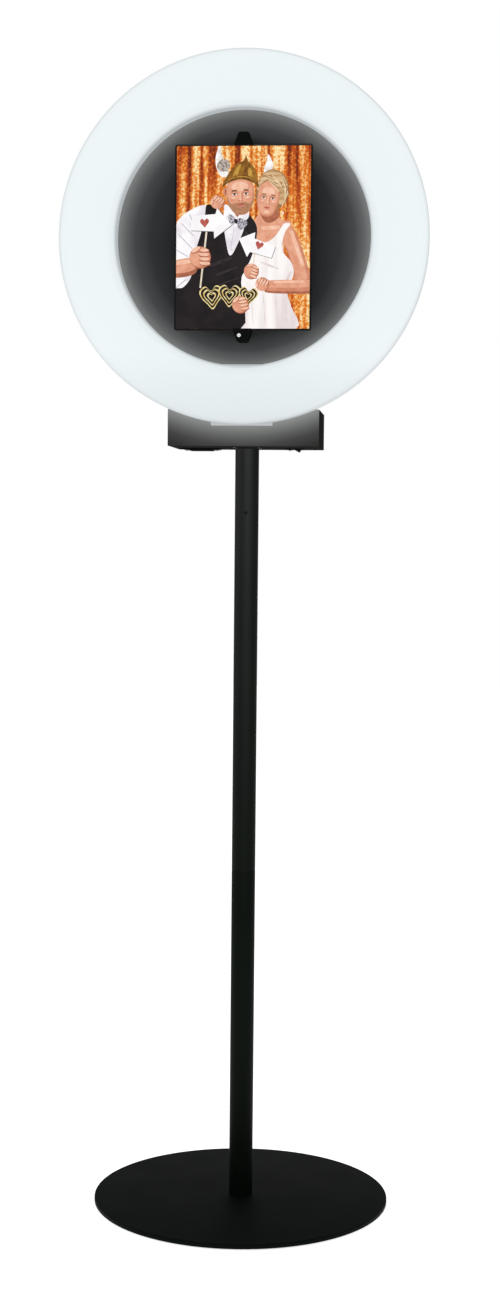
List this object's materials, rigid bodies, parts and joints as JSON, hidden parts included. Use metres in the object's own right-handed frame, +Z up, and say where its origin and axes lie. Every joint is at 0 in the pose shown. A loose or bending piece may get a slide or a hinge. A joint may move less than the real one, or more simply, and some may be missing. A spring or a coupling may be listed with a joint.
{
  "type": "tablet photo booth with ring light",
  "caption": "Free-standing photo booth: round base, two-piece pole, control box, lit ring with a tablet in a sprung clamp that turns from upright to sideways.",
  "frame": {"origin": "on the floor under the middle of the round base, on the pole's axis", "axes": "+Z up along the pole; the ring and the screen face -Y; +X is to the right of someone who looks at the screen"},
  "size_m": [0.48, 0.4, 1.534],
  "materials": {
    "black_steel": "semi-gloss black powder coat",
    "box_steel": "satin black powder coat, fine texture",
    "plate_black": "matte black paint",
    "rubber_black": "matte",
    "zinc_steel": "bright zinc plate",
    "black_screw": "black oxide",
    "black_plastic": "fine moulded grain",
    "gloss_black": "gloss",
    "white_plastic": "satin white",
    "brass_pins": "nickel-plated brass",
    "supply_case": "plain sheet",
    "board_green": "solder mask",
    "pot_blue": "moulded",
    "mains_wire": "insulation",
    "red_wire": "insulation",
    "black_wire": "sheath",
    "grey_alloy": "turned",
    "board_white": "white solder mask",
    "led_yellow": "phosphor",
    "opal": "opal, lit from behind",
    "tablet_metal": "bead-blasted anodised",
    "cover_glass": "polished",
    "screen": "lit picture",
    "battery_foil": "foil wrap"
  },
  "bodies": {
    "stand": {"base_plate": "black_steel", "base_feet": "rubber_black", "base_bolt": "zinc_steel", "lower_pole": "black_steel", "foot_plug": "zinc_steel", "pole_joiner": "zinc_steel", "upper_pole": "black_steel", "joiner_nut": "zinc_steel", "head_lock_screw": "zinc_steel", "swivel_washer": "white_plastic"},
    "head": {"head_spigot": "grey_alloy", "spigot_screws": "zinc_steel", "box_tray": "box_steel", "box_lid": "box_steel", "lid_screws": "black_screw", "power_inlet": "black_plastic", "inlet_pins": "brass_pins", "inlet_screws": "zinc_steel", "switch_frame": "black_plastic", "switch_terminals": "brass_pins", "power_supply": "supply_case", "supply_standoffs": "brass_pins", "dimmer_board": "board_green", "dimmer_pot": "pot_blue", "dimmer_nut": "zinc_steel", "mains_wires": "mains_wire", "low_voltage_wires": "red_wire", "led_lead": "black_wire", "lead_grommet": "rubber_black", "back_plate": "plate_black", "plate_bracket": "plate_black", "tongue_screws": "zinc_steel", "bracket_screws": "black_screw", "ring_housing": "black_plastic", "led_board": "board_white", "leds": "led_yellow", "diffuser": "opal", "ring_screws": "black_screw", "pivot_bush": "white_plastic"},
    "rocker": {"switch_rocker": "gloss_black"},
    "dimmer": {"dimmer_shaft": "zinc_steel", "dimmer_knob": "black_plastic"},
    "holder": {"pivot_stud": "zinc_steel", "holder_rail": "black_plastic", "rail_pad": "rubber_black", "lower_jaw": "black_plastic", "lower_jaw_pad": "rubber_black", "jaw_bolt": "zinc_steel", "tablet_shell": "tablet_metal", "tablet_glass": "cover_glass", "tablet_display": "screen", "tablet_battery": "battery_foil", "tablet_board": "board_green"},
    "jaw": {"upper_jaw": "black_plastic", "upper_jaw_pad": "rubber_black", "jaw_spring": "zinc_steel"},
    "hand_knob": {"pivot_knob": "black_plastic"},
    "power_key": {"power_button": "tablet_metal"},
    "volume_up_key": {"volume_up_button": "tablet_metal"},
    "volume_down_key": {"volume_down_button": "tablet_metal"}
  },
  "joints": [
    {"name": "head_swivel", "type": "hinge", "parent": "stand", "child": "head", "pos_m": [0, 0, 1.027], "axis": [0, 0, 1], "continuous": true},
    {"name": "tablet_turn", "type": "hinge", "parent": "head", "child": "holder", "pos_m": [0, -0.07, 1.294], "axis": [0, 1, 0], "range_deg": [-90, 90]},
    {"name": "jaw_slide", "type": "slide", "parent": "holder", "child": "jaw", "axis": [0, 0, 1], "range_m": [0, 0.015], "stiffness_N_per_m": 300, "springref_m": -0.02, "deforming": ["jaw_spring"]},
    {"name": "knob_turn", "type": "hinge", "parent": "holder", "child": "hand_knob", "pos_m": [0, -0.055, 1.294], "axis": [0, 1, 0], "continuous": true},
    {"name": "rocker_press", "type": "hinge", "parent": "head", "child": "rocker", "pos_m": [0.063, 0.018, 1.0286], "axis": [0, 1, 0], "range_deg": [-20, 0]},
    {"name": "dimmer_turn", "type": "hinge", "parent": "head", "child": "dimmer", "pos_m": [0.046, 0.07, 1.051], "axis": [0, 1, 0], "range_deg": [-270, 0]},
    {"name": "power_press", "type": "slide", "parent": "holder", "child": "power_key", "axis": [0, 0, -1], "range_m": [0, 0.0004], "stiffness_N_per_m": 1000, "springref_m": -0.0003},
    {"name": "volume_up_press", "type": "slide", "parent": "holder", "child": "volume_up_key", "axis": [-1, 0, 0], "range_m": [0, 0.0004], "stiffness_N_per_m": 1000, "springref_m": -0.0003},
    {"name": "volume_down_press", "type": "slide", "parent": "holder", "child": "volume_down_key", "axis": [-1, 0, 0], "range_m": [0, 0.0004], "stiffness_N_per_m": 1000, "springref_m": -0.0003}
  ]
}
